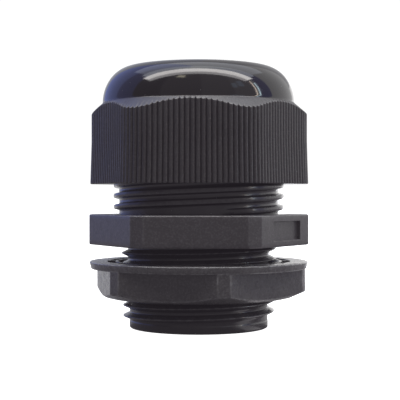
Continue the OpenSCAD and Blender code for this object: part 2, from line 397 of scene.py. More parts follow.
def sink_recesses(points, angles, z):
    """Moves the points of one ring of the hexagon, at height z, inwards where a recess is."""
    beside = abs(z - (HEX_Z + HEX_H / 2)) - RECESS_H / 2
    in_height = smooth_step(0.5 - beside / RECESS_WALL)
    for face in RECESS_FACES:
        local = np.radians((angles - face + 180) % TURN - 180)
        across = HEX_AF / 2 * np.tan(np.clip(local, -1, 1)) - RECESS_SHIFT
        in_width = smooth_step(0.5 - (np.abs(across) - RECESS_W / 2) / RECESS_WALL)
        depth = np.where(np.cos(local) > 0.5, in_width, 0) * in_height * RECESS_DEPTH
        points = points - depth[:, None] * at(np.full(len(angles), face), 1.0, 0.0)
    return points


def beside_recess(angles):
    """1 at the angles that a recess of the hexagon spans, 0 elsewhere."""
    across = [HEX_AF / 2 * np.tan(np.radians(np.clip((angles - face + 180) % TURN - 180, -60, 60)))
              for face in RECESS_FACES]
    away = np.min([np.abs(a - RECESS_SHIFT) for a in across], 0)
    return smooth_step((RECESS_W / 2 + RECESS_RIM - away) / RECESS_RIM)


def body_angles():
    """Angles of the body's columns of points, close together where an edge stands."""
    sides = [
        face + math.degrees(math.atan((RECESS_SHIFT + s * RECESS_W / 2) / (HEX_AF / 2)))
        for face in RECESS_FACES for s in (-1, 1)
    ]
    return merged(np.arange(0, TURN, 1.0), near(hexagon_edges(HEX_AF, HEX_AC, 0.0), EDGE_STEPS),
                  near(sides, RECESS_SIDE_STEPS))


def edge_wear_and_highlight(angles, edges):
    """Wear and painted highlight of a hexagon's upright edges at each angle."""
    away = np.abs((angles[:, None] - edges + 180) % TURN - 180).min(1)
    return np.exp(-((away / EDGE_WEAR_AND_HIGHLIGHT_WIDTH) ** 2))


def gland_body(material):
    """Spigot, entry thread, hexagon with recesses, coarse thread, mouth and cable passage."""
    skin = Skin()
    angles = body_angles()

    def ring(r, z, wear_and_highlight=0.0):
        return skin.ring(at(angles, r, z), wear_and_highlight)

    foot_r = PASSAGE_R + 1
    bottom = rounded([(foot_r, 0), (SPIGOT_R, 0, SPIGOT_ROUND),
                      (SPIGOT_R, SPIGOT_L - 0.2, 0.1), (ENTRY["root_r"] + 0.05, SPIGOT_L)], steps=5)
    rings = [ring(r, z) for r, z in bottom[:-1]]
    low, high = thread_patch(skin, ENTRY, angles, SPIGOT_L, HEX_Z)
    skin.strips(rings + [low])
    mouth_ring = rings[0]

    rings = [high]
    upright = edge_wear_and_highlight(angles, hexagon_edges(HEX_AF, HEX_AC, 0.0))

    def bevel(degrees):
        """Outline, distance from the hexagon's end and ridge of a bevel at this turn of it."""
        a = math.radians(degrees)
        outline = cut_hexagon_r(angles, HEX_AF, HEX_AC, 0.0, HEX_BEVEL * (1 - math.sin(a)))
        return outline, HEX_BEVEL * (1 - math.cos(a)), math.sin(2 * a)

    # The lower bevel's ridge is pale: wear and a painted highlight
    for degrees in BEVEL_TURNS:
        outline, up, ridge = bevel(degrees)
        rings.append(ring(outline, HEX_Z + up, 0.7 * ridge))
    middle = HEX_Z + HEX_H / 2
    outline = cut_hexagon_r(angles, HEX_AF, HEX_AC, 0.0)
    # A pale line round each recess's rim: a painted highlight and wear
    rim_at, rim_width = 0.06, 0.08
    for side in (-1, 1):
        for s in RECESS_RIM_STEPS:
            z = middle + side * RECESS_H / 2 + s
            points = sink_recesses(at(angles, outline, z), angles, z)
            rim = 0.8 * np.exp(-(((side * s - rim_at) / rim_width) ** 2)) * beside_recess(angles)
            rings.append(skin.ring(points, np.maximum(0.35 * upright, rim)))
    # The upper bevel's ridge and the upright edges are pale: wear and a painted highlight
    for degrees in reversed(BEVEL_TURNS):
        outline, down, ridge = bevel(degrees)
        wear_and_highlight = np.maximum(0.75 * ridge, 0.4 * upright)
        rings.append(ring(outline, HEX_Z + HEX_H - down, wear_and_highlight))
    thread_top = BODY_TOP - MOUTH_BEVEL
    low, high = thread_patch(skin, UPPER, angles, HEX_Z + HEX_H, thread_top)
    skin.strips(rings + [low])

    inside = rounded([
        (UPPER["root_r"], thread_top), (UPPER["root_r"] - MOUTH_BEVEL, BODY_TOP, 0.12),
        (CLAW_SEAT[0], BODY_TOP, 0.15), (CLAW_SEAT[0], CLAW_SEAT[1]),
        (SEAL_SEAT[0], CLAW_SEAT[1], 0.15), (SEAL_SEAT[0], SEAL_SEAT[1]),
        (PASSAGE_R, SEAL_SEAT[1], 0.2), (PASSAGE_R, 0, 0.4), (foot_r, 0),
    ])
    rings = [high] + [ring(r, z) for r, z in inside[1:-1]] + [mouth_ring]
    skin.strips(rings)
    skin.build("gland_body_moulding", material, "gland_body", "gland_body")


def nut_outline():
    """The points of the dome nut's ribbed outline."""
    corner_r = (NUT_AF / math.sqrt(3) - NUT_AC / 2) / (2 / math.sqrt(3) - 1)
    flat_half = (NUT_AF / 2 - corner_r) * math.tan(math.radians(30))
    arc_half = corner_r * math.pi / 6
    sector = 2 * (flat_half + arc_half)
    pitch = sector / RIBS_PER_FACE
    phase = np.array(RIB_POINTS)
    along = (np.add.outer(np.arange(RIBS_PER_FACE) + 0.5, phase).ravel() * pitch) - sector / 2
    depth = RIB_DEPTH * np.tile(np.abs(2 * phase) ** RIB_POWER, RIBS_PER_FACE)
    over = np.maximum(np.abs(along) - flat_half, 0) / corner_r
    straight = np.minimum(np.abs(along), flat_half)
    reach = corner_r - depth
    x = NUT_AF / 2 - corner_r + reach * np.cos(over)
    y = np.sign(along) * (straight + reach * np.sin(over))
    sides = []
    for k in range(6):
        a = math.radians(60 * k - 90 + NUT_TURN)
        sides.append(np.stack([x * math.cos(a) - y * math.sin(a),
                               x * math.sin(a) + y * math.cos(a)], 1))
    return np.concatenate(sides)


def dome_nut(material):
    """Ribbed six-sided skirt, conical shoulder, dome with its lip, and the threaded inside."""
    skin = Skin()

    def outline_ring(points, z, wear_and_highlight=0.0):
        return skin.ring(np.column_stack([points, np.broadcast_to(z, len(points))]), wear_and_highlight)

    shoulder_z = DOME_FOOT_Z - SHOULDER_SLOPE * (NUT_AF / 2 - DOME_R)
    ribbed = nut_outline()
    reach = np.linalg.norm(ribbed, axis=1)
    inward = -ribbed / reach[:, None]
    rib_tops = np.tile(1 - np.abs(2 * np.array(RIB_POINTS)), 6 * RIBS_PER_FACE)
    shelf_z = shoulder_z - SHOULDER_SLOPE * (reach - NUT_AF / 2)

    # Skirt: rounded lower edge, ribs that flare out a little towards it, and a rounded upper
    # edge on the conical shoulder. The ribs' ends on both edges are pale: wear and a painted
    # highlight
    flare, flare_top = SKIRT_FLARE
    rings = []
    for a in (0, 30, 60, 90):
        turn = math.radians(a)
        moved = ribbed + inward * (SKIRT_EDGE * (1 - math.sin(turn)) - flare)
        z = SKIRT_Z + SKIRT_EDGE * (1 - math.cos(turn))
        rings.append(outline_ring(moved, z, 0.8 * math.sin(2 * turn) * rib_tops))
    rings.append(outline_ring(ribbed - inward * flare / 2, (SKIRT_Z + flare_top) / 2))
    rings.append(outline_ring(ribbed, flare_top))
    for inset, down, wear_and_highlight in ((0.0, 1.0, 0.1), (0.1, 0.42, 0.7), (0.38, 0.05, 0.9),
                              (0.95, -0.55, 0.1)):
        moved = ribbed + inward * SKIRT_TOP_EDGE * inset
        rings.append(outline_ring(moved, shelf_z - SKIRT_TOP_EDGE * down, wear_and_highlight))
    skin.strips(rings)
    skirt_low, skirt_high = rings[0], rings[-1]

    # Dome, lip and the cable hole
    angles = np.arange(0, TURN, 1.0)

    def ring(r, z):
        return skin.ring(at(angles, r, z))

    rings = [ring(DOME_R + DOME_OVERHANG, DOME_FOOT_Z - SHOULDER_SLOPE * DOME_OVERHANG)]
    dome_z = DOME_FOOT_Z + DOME_LIFT
    for i in range(DOME_STEPS + 1):
        a = math.pi / 2 * i / DOME_STEPS
        rings.append(ring(DOME_CREST_R + (DOME_R - DOME_CREST_R) * math.cos(a),
                          dome_z + (NUT_TOP - dome_z) * math.sin(a)))
    lip = DOME_CREST_R - DOME_HOLE_R
    for i in range(1, LIP_STEPS + 1):
        a = math.pi / 2 * i / LIP_STEPS
        rings.append(ring(DOME_CREST_R - lip * math.sin(a), NUT_TOP - lip * (1 - math.cos(a))))
    skin.lace(skirt_high, rings[0])
    bore, thread_foot = SKIRT_BORE[0], SKIRT_Z + SKIRT_BORE[1]
    inside = rounded([
        (DOME_HOLE_R, NUT_TOP - lip), (DOME_HOLE_R, NUT_CONE[1][1], 0.2), (*NUT_CONE[1], 0.2),
        (*NUT_CONE[0], 0.4), (NUT_CONE[0][0], THREAD_ROOM_Z[1], 0.3),
        (FEMALE["root_r"], THREAD_ROOM_Z[0]),
    ])
    rings += [ring(r, z) for r, z in inside[1:-1]]
    low, high = thread_patch(skin, FEMALE, angles, thread_foot + 0.3, THREAD_ROOM_Z[0])
    skin.strips(rings + [high])
    foot = rounded([
        (FEMALE["root_r"], thread_foot + 0.3), (bore, thread_foot), (bore, SKIRT_Z, 0.3),
        (bore + 1, SKIRT_Z),
    ])
    rings = [low] + [ring(r, z) for r, z in foot[1:]]
    skin.strips(rings)
    skin.lace(skirt_low, rings[-1])
    skin.build("dome_nut_moulding", material, "dome_nut", "dome_nut")


def rim_wear(angles):
    """Small nicks and waves of a worn rim: how far it is pushed in at each angle."""
    rng = np.random.default_rng(NICK_SEED)
    worn = np.zeros(len(angles))
    for _ in range(NICKS):
        middle, width = rng.uniform(0, TURN), rng.uniform(*NICK_WIDTH)
        deep = rng.uniform(*NICK_DEPTH)
        away = (angles - middle + 180) % TURN - 180
        worn += deep * np.exp(-((away / width) ** 2))
    return worn


def lock_nut(material):
    """Flange with pockets and a worn rim, hexagon with a chamfered foot, and threaded bore."""
    skin = Skin()
    edges = hexagon_edges(LOCK_AF, LOCK_AC, LOCK_TURN)
    half = math.degrees(math.asin(POCKET_RIB / 2 / POCKET_R[0]))
    step = TURN / POCKETS
    ribs = LOCK_TURN + step * (np.arange(POCKETS) + 0.5)
    angles = merged(np.arange(0, TURN, 1.0),
                    near(edges, EDGE_STEPS),
                    near(np.concatenate([ribs - half, ribs + half]),
                         (-0.35, -0.2, -0.07, 0.07, 0.2, 0.35)))
    worn = rim_wear(angles)
    # Upright edges are pale: wear and a painted highlight
    upright = 0.7 * edge_wear_and_highlight(angles, edges)
    from_rib = np.abs((angles - ribs[0] + step / 2) % step - step / 2) - half
    in_pocket = smooth_step((from_rib + 0.1) / 0.3)

    def ring(r, z, wear_and_highlight=0.0):
        return skin.ring(at(angles, r, z), wear_and_highlight)

    # The pockets' rims are pale: wear and a painted highlight
    def pocket_ring(r, share):
        return ring(r, LOCK_TOP - POCKET_DEPTH * share * in_pocket, 0.3 if share < 0.05 else 0.0)

    inner, outer = POCKET_R
    wall = ((-0.12, 0.0), (-0.05, 0.008), (0.0, 0.03), (0.03, 0.97), (0.15, 1.0))
    rings = [pocket_ring(inner + away, share) for away, share in wall]
    rings += [pocket_ring(outer - away, share) for away, share in reversed(wall)]
    first = rings[0]
    flange_z = LOCK_TOP - FLANGE_H
    outline = cut_hexagon_r(angles, LOCK_AF, LOCK_AC, LOCK_TURN)
    rings.append(ring(FLANGE_R - 1.2, LOCK_TOP))
    # The flange's rim is pale: wear and a painted highlight
    for inset, down, wear_and_highlight in ((0.22, 0.0, 0.5), (0.1, 0.03, 1.0), (0.03, 0.1, 1.0),
                              (0.0, 0.22, 0.2)):
        rings.append(ring(FLANGE_R - inset - worn, LOCK_TOP - down - worn * 0.6, wear_and_highlight))
    foot_r = FLANGE_R - FLANGE_DRAFT
    # The flange's lower edge is a pale line: a painted highlight and wear
    rings.append(ring(foot_r - worn * 0.3, flange_z + 0.26))
    rings.append(ring(foot_r - worn * 0.3, flange_z + 0.16, 0.9))
    under = np.maximum(foot_r - 0.12, outline)
    rings.append(ring(under, flange_z, 0.9))
    rings.append(ring(np.minimum(under, outline + 0.12), flange_z))
    rings.append(ring(outline, flange_z - 0.12, upright))

    def chamfer_z(r):
        return LOCK_Z + CHAMFER_Z + (r - CHAMFER_R) * CHAMFER_SLOPE

    bottom = chamfer_z(outline)
    for up in (0.66, 0.33):
        rings.append(ring(outline, bottom + (flange_z - bottom) * up, upright))
    # The chamfer's top edge is a pale wavy line: a painted highlight and wear
    for inset, up, wear_and_highlight in ((0.0, 0.3, 0.0), (0.015, 0.18, 0.8), (0.06, 0.08, 1.0),
                            (0.14, 0.015, 0.5)):
        rings.append(ring(outline - inset, chamfer_z(outline - inset) + up, wear_and_highlight))
    rings.append(ring(outline - 0.3, chamfer_z(outline - 0.3)))
    rings.append(ring(CHAMFER_R + 0.1, chamfer_z(CHAMFER_R + 0.1)))
    rings.append(ring(CHAMFER_R - 0.15, LOCK_Z + CHAMFER_Z - 0.09))
    rings.append(ring(LOCK_FACE_R + 0.2, LOCK_Z + 0.03))
    rings.append(ring(LOCK_FACE_R - 0.2, LOCK_Z))
    rings.append(ring(LOCK_BORE_R + LOCK_LEAD_IN, LOCK_Z))
    low, high = thread_patch(skin, LOCK_GROOVE, angles, LOCK_Z + LOCK_LEAD_IN,
                             LOCK_TOP - LOCK_LEAD_IN)
    skin.strips(rings + [low])
    top = [high, ring(LOCK_BORE_R + LOCK_LEAD_IN, LOCK_TOP), first]
    skin.strips(top)
    skin.build("lock_nut_moulding", material, "lock_nut", "lock_nut")


def turned_piece(name, profile, material, body, node):
    """A closed profile turned about the axis."""
    skin = Skin()
    angles = np.arange(TURNED_COLUMNS) * TURN / TURNED_COLUMNS
    rings = [skin.ring(at(angles, r, z)) for r, z in profile]
    skin.strips(rings + [rings[0]])
    skin.build(name, material, body, node)


def closed(corners):
    """A closed profile: every corner is rounded, the first one too."""
    return rounded([corners[-1], *corners, corners[0]])[1:-1]


def claw_ring(material):
    """A skirt in the body's mouth under a rim that rests on it."""
    inner_r, skirt_r, rim_r = 14.75, 15.5, RING_HIGH[0]
    low_z, rim_z, top_z = RING_LOW[2], BODY_TOP + 0.05, RING_HIGH[2]
    profile = closed([(inner_r, low_z, 0.12), (skirt_r, low_z, 0.25), (skirt_r, rim_z, 0.15),
                      (rim_r, rim_z, 0.2), (rim_r, top_z, 0.3), (inner_r, top_z, 0.15)])
    turned_piece("claw_ring_moulding", profile, material, "clamp_insert",
                 "claw_ring")


def seal_insert(material):
    """A sleeve with a shallow groove round the middle of its bore."""
    bore, foot, tip = 12.5, SEAL_HIGH[0], 13.4
    low, top, shoulder = SEAL_LOW[2], SEAL_HIGH[2], 40.8
    middle = (low + top) / 2
    profile = closed([
        (bore + 0.8, low, 0.25), (foot, low, 0.3), (foot, shoulder, 0.6), (tip, top, 0.25),
        (bore + 0.4, top, 0.2), (bore, top - 0.8, 0.4), (bore, middle + 1.6, 0.1),
        (bore + 0.35, middle + 1.2, 0.1), (bore + 0.35, middle - 1.2, 0.1),
        (bore, middle - 1.6, 0.1), (bore, low + 0.8, 0.4),
    ])
    turned_piece("seal_insert_moulding", profile, material, "clamp_insert",
                 "seal_insert")


def claw_finger(number, material):
    """One finger: a block of a ring with rounded edges and a bevelled tip."""
    skin = Skin()
    node = FINGERS[number]
    inner, outer = FINGER_R
    low, top = FINGER_LOW[2], FINGER_HIGH[2]
    profile = np.array(closed([(inner, low, 0.1), (outer, low, 0.1),
                               (outer, top - FINGER_TIP_H, 0.35), (FINGER_TIP_R, top, 0.25),
                               (inner, top, 0.2)]))
    from_middle = profile - profile.mean(0)
    length = np.linalg.norm(from_middle, axis=1, keepdims=True)
    step = TURN / len(FINGERS)
    half = step / 2 - math.degrees(math.asin(FINGER_SLOT / (inner + outer)))
    edge_angle = math.degrees(FINGER_EDGE / outer)
    side = []
    for share in (0.0, 0.35, 1.0):
        inset = FINGER_EDGE * (1 - math.sqrt(1 - (1 - share) ** 2))
        side.append((half - edge_angle * share, inset))
    places = [(-turn, inset) for turn, inset in side]
    places += [(half * share, 0.0) for share in (-0.5, 0.0, 0.5)]
    places += reversed(side)
    rings = []
    for turn, inset in places:
        moved = profile - from_middle * (inset / length)
        angles = np.full(len(moved), number * step + turn)
        rings.append(skin.ring(at(angles, moved[:, 0], moved[:, 1])))
    skin.strips(rings)
    skin.faces += [rings[0].tolist(), rings[-1].tolist()]
    skin.build(node + "_moulding", material, node, node)


# ---------------------------------------------------------------- materials


DUST = (0.2, 0.2, 0.205)

# Noises: waves to a metre
CLOUDS = 260.0
FLOW = 900.0
GRAIN = 2700.0
NUT_GRAIN = 2900.0
# Patches that break up the edges' wear and painted highlight
WEAR_AND_HIGHLIGHT_PATCHES = 1100.0
RUBBER_CLOUDS = 500.0
RUBBER_GRAIN = 7000.0

# Bumps: heights in metres
CLOUD_HEIGHT = 0.0003
NUT_CLOUD_HEIGHT = 0.0002
GRAIN_HEIGHT = 0.00006

# Values of a noise between which a tone or a gloss changes from one end to the other
CLOUD_SPAN = (0.3, 0.7)
FLOW_SPAN = (0.25, 0.75)
PATCH_SPAN = (0.36, 0.62)

# Darkest cloud and palest grain, as shares of the colour and of the pale colour
DARK_CLOUD = 0.86
GRAIN_SHARE = 0.3

# Dust: specks to a metre, their size as a share of a cell, and the roughness they add
SPECKS = 900.0
SPECK_SIZE = 0.07
SPECK_MATT = 0.4

# Threads: width in millimetres of the change to their plastic, and the grain left on them
THREAD_EDGE = 0.3
THREAD_GRAIN = 0.25

# Roughness of the dome nut: skirt and dome
NUT_MATT = (0.33, 0.42)
NUT_GLOSS = (0.07, 0.1)
RUBBER_MATT = (0.55, 0.72)


def shaded(colour, share):
    """A colour with its light scaled by share."""
    return tuple(share * c for c in colour)


class Nodes:
    """A small helper that adds and links the nodes of one material."""

    def __init__(self, name):
        self.material = bpy.data.materials.new(name)
        self.material.use_nodes = True
        self.tree = self.material.node_tree
        self.tree.nodes.clear()
        self.shader = self.add("ShaderNodeBsdfPrincipled")
        output = self.add("ShaderNodeOutputMaterial")
        self.link(self.shader.outputs[0], output.inputs["Surface"])
        self.place = self.add("ShaderNodeTexCoord").outputs["Object"]

    def add(self, kind, **settings):
        node = self.tree.nodes.new(kind)
        for key, value in settings.items():
            setattr(node, key, value)
        return node

    def link(self, output, socket):
        self.tree.links.new(output, socket)

    def noise(self, scale, detail, stretch=None):
        """A noise from about 0 to 1 in the object's own space."""
        node = self.add("ShaderNodeTexNoise")
        node.inputs["Scale"].default_value = scale
        node.inputs["Detail"].default_value = detail
        place = self.place
        if stretch:
            mapping = self.add("ShaderNodeMapping")
            mapping.inputs["Scale"].default_value = stretch
            self.link(place, mapping.inputs["Vector"])
            place = mapping.outputs[0]
        self.link(place, node.inputs["Vector"])
        return node.outputs[0]

    def worn_and_highlit_edges(self):
        """Wear and painted highlight along the edges and crests, broken up by a coarse noise."""
        worn = self.add("ShaderNodeAttribute", attribute_name=WEAR_AND_HIGHLIGHT)
        patches = self.ramp(self.noise(WEAR_AND_HIGHLIGHT_PATCHES, 4.0), *PATCH_SPAN, 0.3, 1.0)
        return self.maths("MULTIPLY", worn.outputs["Fac"], patches)

    def reach(self):
        """Distance from the Z axis."""
        flat = self.add("ShaderNodeVectorMath", operation="MULTIPLY")
        self.link(self.place, flat.inputs[0])
        flat.inputs[1].default_value = (1.0, 1.0, 0.0)
        length = self.add("ShaderNodeVectorMath", operation="LENGTH")
        self.link(flat.outputs[0], length.inputs[0])
        return length.outputs["Value"]

    def ramp(self, source, low, high, out_low=0.0, out_high=1.0):
        """Smooth change from out_low to out_high as the source goes from low to high."""
        node = self.add("ShaderNodeMapRange")
        node.interpolation_type = "SMOOTHSTEP"
        self.link(source, node.inputs["Value"])
        for name, value in (("From Min", low), ("From Max", high), ("To Min", out_low),
                            ("To Max", out_high)):
            node.inputs[name].default_value = value
        return node.outputs[0]

    def maths(self, kind, a, b):
        """One step of arithmetic on two values, each a number or a socket."""
        node = self.add("ShaderNodeMath", operation=kind)
        for socket, value in zip(node.inputs, (a, b)):
            if isinstance(value, (int, float)):
                socket.default_value = value
            else:
                self.link(value, socket)
        return node.outputs[0]

    def mix(self, share, a, b):
        """Colour a where the share is 0 and b where it is 1. Each is a colour or a socket."""
        node = self.add("ShaderNodeMix", data_type="RGBA")
        self.link(share, node.inputs["Factor"])
        for socket, value in ((node.inputs[6], a), (node.inputs[7], b)):
            if isinstance(value, tuple):
                socket.default_value = (*value, 1.0)
            else:
                self.link(value, socket)
        return node.outputs[2]

    def clouded(self, cloud, fine, fine_high, colour, pale):
        """The colour, darker in clouds and flecked with the pale one by the fine grain."""
        tone = self.mix(self.ramp(cloud, *CLOUD_SPAN), shaded(colour, DARK_CLOUD), colour)
        flecks = self.maths("MULTIPLY", self.ramp(fine, 0.42, fine_high), GRAIN_SHARE)
        return self.mix(flecks, tone, pale)

    def dusted(self, tone, rough, share):
        """Puts specks of dust on a tone and a roughness and sends both to the shader."""
        dusty = self.specks(share)
        self.link(self.mix(dusty, tone, DUST), self.shader.inputs["Base Color"])
        rough = self.maths("ADD", rough, self.maths("MULTIPLY", dusty, SPECK_MATT))
        self.link(rough, self.shader.inputs["Roughness"])

    def bump(self, height, strength, distance, under=None):
        """Bumps of a height, in metres, on top of those under them."""
        node = self.add("ShaderNodeBump")
        node.inputs["Strength"].default_value = strength
        node.inputs["Distance"].default_value = distance
        self.link(height, node.inputs["Height"])
        if under is not None:
            self.link(under, node.inputs["Normal"])
        return node.outputs[0]

    def specks(self, share):
        """1 on small specks in this share of the cells of a grid, 0 elsewhere."""
        cells = self.add("ShaderNodeTexVoronoi")
        cells.inputs["Scale"].default_value = SPECKS
        self.link(self.place, cells.inputs["Vector"])
        split = self.add("ShaderNodeSeparateColor")
        self.link(cells.outputs["Color"], split.inputs[0])
        chosen = self.maths("GREATER_THAN", split.outputs[0], 1 - share)
        reach = self.maths("MULTIPLY", split.outputs[1], SPECK_SIZE)
        inside = self.maths("LESS_THAN", cells.outputs["Distance"], reach)
        return self.maths("MULTIPLY", chosen, inside)


def moulded(name, colour, pale, roughness, grain, dust, drawn, threads=None):
    """Moulded plastic: fine grain, cloudy tone and gloss, pale edges from wear and a painted
    highlight, and specks of dust.

    threads is (radius, colour, roughness) of the smoother, darker threads inside that radius,
    and drawn stretches the cloudy gloss upright: 1 not at all, 0.1 tenfold.
    """
    n = Nodes(name)
    cloud = n.noise(CLOUDS, 4.0)
    fine = n.noise(GRAIN, 4.0)
    flow = n.noise(FLOW, 3.0, stretch=(1.0, 1.0, drawn))
    tone = n.clouded(cloud, fine, 0.72, colour, pale)
    rough = n.ramp(flow, *FLOW_SPAN, roughness - 0.05, roughness + 0.06)
    if threads:
        radius, dark, satin = threads
        outside = n.ramp(n.reach(), radius * MM, (radius + THREAD_EDGE) * MM)
        grooved = n.mix(n.ramp(cloud, *CLOUD_SPAN), dark, shaded(dark, 1.25))
        tone = n.mix(outside, grooved, tone)
        smooth = n.ramp(flow, *FLOW_SPAN, satin - 0.04, satin + 0.05)
        shift = n.maths("MULTIPLY", n.maths("SUBTRACT", rough, smooth), outside)
        rough = n.maths("ADD", smooth, shift)
        fine = n.maths("MULTIPLY", fine, n.maths("MAXIMUM", outside, THREAD_GRAIN))
    # Edges and crests turn pale: wear and a painted highlight
    n.dusted(n.mix(n.worn_and_highlit_edges(), tone, pale), rough, dust)
    soft = n.bump(cloud, 0.08, CLOUD_HEIGHT)
    n.link(n.bump(fine, grain, GRAIN_HEIGHT, soft), n.shader.inputs["Normal"])
    return n.material


def rubber(name, colour):
    """Matt rubber, cloudy in tone and gloss."""
    n = Nodes(name)
    clouds = n.noise(RUBBER_CLOUDS, 4.0)
    fine = n.noise(RUBBER_GRAIN, 2.0)
    tone = n.mix(n.ramp(clouds, *CLOUD_SPAN), colour, shaded(colour, 1.7))
    n.link(tone, n.shader.inputs["Base Color"])
    n.link(n.ramp(clouds, *CLOUD_SPAN, *RUBBER_MATT), n.shader.inputs["Roughness"])
    n.link(n.bump(fine, 0.35, GRAIN_HEIGHT), n.shader.inputs["Normal"])
    return n.material


def nut_plastic(name, colour, pale, polish):
    """The dome nut's plastic: matt ribbed skirt and shoulder, polished dome."""
    n = Nodes(name)
    split = n.add("ShaderNodeSeparateXYZ")
    n.link(n.place, split.inputs[0])
    high = n.ramp(split.outputs[2], (DOME_FOOT_Z + 0.01) * MM, (DOME_FOOT_Z + 0.12) * MM)
    inside = n.ramp(n.reach(), (DOME_R + 0.02) * MM, (DOME_R + 0.1) * MM, 1.0, 0.0)
    polished = n.maths("MULTIPLY", high, inside)
    unpolished = n.maths("SUBTRACT", 1.0, polished)
    cloud = n.noise(CLOUDS, 4.0)
    fine = n.noise(NUT_GRAIN, 4.0)
    tone = n.clouded(cloud, fine, 0.75, colour, pale)
    # Edges turn pale: wear and a painted highlight
    tone = n.mix(n.worn_and_highlit_edges(), tone, pale)
    tone = n.mix(polished, tone, polish)
    matt = n.ramp(cloud, *CLOUD_SPAN, *NUT_MATT)
    glossy = n.ramp(cloud, *CLOUD_SPAN, *NUT_GLOSS)
    rough = n.maths("ADD", n.maths("MULTIPLY", matt, unpolished),
                    n.maths("MULTIPLY", glossy, polished))
    n.dusted(tone, rough, 0.5)
    soft = n.bump(cloud, 0.05, NUT_CLOUD_HEIGHT)
    grain = n.maths("MULTIPLY", fine, unpolished)
    n.link(n.bump(grain, 0.3, GRAIN_HEIGHT, soft), n.shader.inputs["Normal"])
    return n.material


def glow(name, colour, strength):
    """A material that only glows."""
    n = Nodes(name)
    n.shader.inputs["Base Color"].default_value = (0, 0, 0, 1)
    n.shader.inputs["Specular IOR Level"].default_value = 0.0
    n.shader.inputs["Emission Color"].default_value = (*colour, 1.0)
    n.shader.inputs["Emission Strength"].default_value = strength
    return n.material


# ---------------------------------------------------------------- studio

CENTRE_Z = (NUT_HIGH[2] + BODY_LOW[2]) / 2 * MM
ROOM_R = 2.0

# Degrees from one point of a wall or of a card on the floor to the next, and rings of a card
WALL_STEP = 4
CARD_STEP = 5
CARD_RINGS = 4

# Walls and lamps of the room, seen only as reflections and light: name, turn from the front
# towards +X (from, to), height above the horizon (from, to), colour, strength, share of the
# room's radius
WALLS = (
    ("dark_left", (-83, -45), (-2, 74), (0.13, 0.12, 0.135), 1.0, 1.0),
    ("dark_middle", (-45, 5), (-2, 74), (0.25, 0.235, 0.245), 1.0, 1.0),
    ("dark_right", (5, 45), (-2, 74), (0.34, 0.325, 0.335), 1.0, 1.0),
    ("dim_right", (45, 74), (-2, 74), (0.46, 0.44, 0.455), 1.0, 1.0),
    ("blue_wall_a", (-112, -83), (-2, 84), (0.22, 0.25, 0.56), 1.0, 1.0),
    ("blue_wall_b", (-152, -112), (-2, 84), (0.36, 0.44, 0.98), 1.0, 1.0),
    ("grey_wall_left", (-180, -152), (-2, 60), (0.56, 0.58, 0.66), 1.0, 1.0),
    ("grey_wall_right", (150, 180), (14, 60), (0.6, 0.6, 0.62), 1.0, 1.0),
    ("pale_wall_right", (150, 180), (-2, 14), (1.7, 1.68, 1.68), 1.0, 1.0),
    ("blue_wall_right", (80.5, 98), (-2, 84), (0.26, 0.28, 0.56), 1.0, 1.0),
    ("edge_lamp_warm", (73.6, 75.4), (1, 38), (1.0, 0.84, 0.72), 10.0, 0.9),
    ("edge_lamp_cool", (78.2, 80.2), (1, 34), (0.72, 0.9, 1.0), 10.0, 0.9),
    ("spot_lamp", (-34, -21), (52, 58.5), (1.0, 0.93, 0.72), 4.0, 0.9),
    ("window_a", (44, 51), (25, 36), (0.7, 0.82, 1.0), 1.1, 0.9),
    ("window_b", (53, 61), (28, 40), (0.7, 0.82, 1.0), 1.1, 0.9),
)


def patch(name, points, colour, strength):
    """A glowing sheet through a grid of points. It lights the object but isn't seen."""
    rows, columns = points.shape[:2]
    corners = (0, 1, columns + 1, columns)
    faces = [[i * columns + j + corner for corner in corners]
             for i in range(rows - 1) for j in range(columns - 1)]
    mesh = bpy.data.meshes.new(name)
    mesh.from_pydata(points.reshape(-1, 3).tolist(), [], faces)
    mesh.materials.append(glow(name + "_glow", colour, strength))
    sheet = bpy.data.objects.new(name, mesh)
    bpy.context.scene.collection.objects.link(sheet)
    sheet.visible_camera = False


def wall(name, turns, heights, colour, strength, share):
    """A curved patch of the room round the object."""
    across = max(2, int((turns[1] - turns[0]) / WALL_STEP))
    up = max(2, int((heights[1] - heights[0]) / WALL_STEP))
    turn = np.radians(np.linspace(*turns, across + 1))[None, :]
    height = np.radians(np.linspace(*heights, up + 1))[:, None]
    r = ROOM_R * share
    x, y = r * np.cos(height) * np.sin(turn), -r * np.cos(height) * np.cos(turn)
    z = CENTRE_Z + r * np.sin(height) + 0 * turn
    patch(name, np.stack([x, y, z], -1), colour, strength)


# Strip lamps overhead: name, size along X and Y and place along Y, as shares of their height
# above the object, colour, power
OVERHEAD = (
    ("strip_front_edge", 2.3, 0.16, -0.4, (1.0, 0.97, 0.97), 4.4),
    ("strip_core", 2.2, 0.22, -0.21, (1.0, 0.965, 0.95), 14.0),
    ("strip_back_edge", 1.9, 0.2, 0.0, (0.9, 0.95, 1.0), 2.6),
    ("strip_glow", 1.7, 0.5, 0.35, (0.82, 0.88, 1.0), 2.7),
)
OVERHEAD_HEIGHT = 1.0


def overhead_lamp(name, long, wide, back, colour, power):
    """A level lamp over the object, not seen itself."""
    data = bpy.data.lights.new(name, "AREA")
    data.shape = "RECTANGLE"
    data.size = long * OVERHEAD_HEIGHT
    data.size_y = wide * OVERHEAD_HEIGHT
    data.color = colour
    data.energy = power
    lamp = bpy.data.objects.new(name, data)
    lamp.location = (0.0, back * OVERHEAD_HEIGHT, CENTRE_Z + OVERHEAD_HEIGHT)
    lamp.visible_camera = False
    bpy.context.scene.collection.objects.link(lamp)


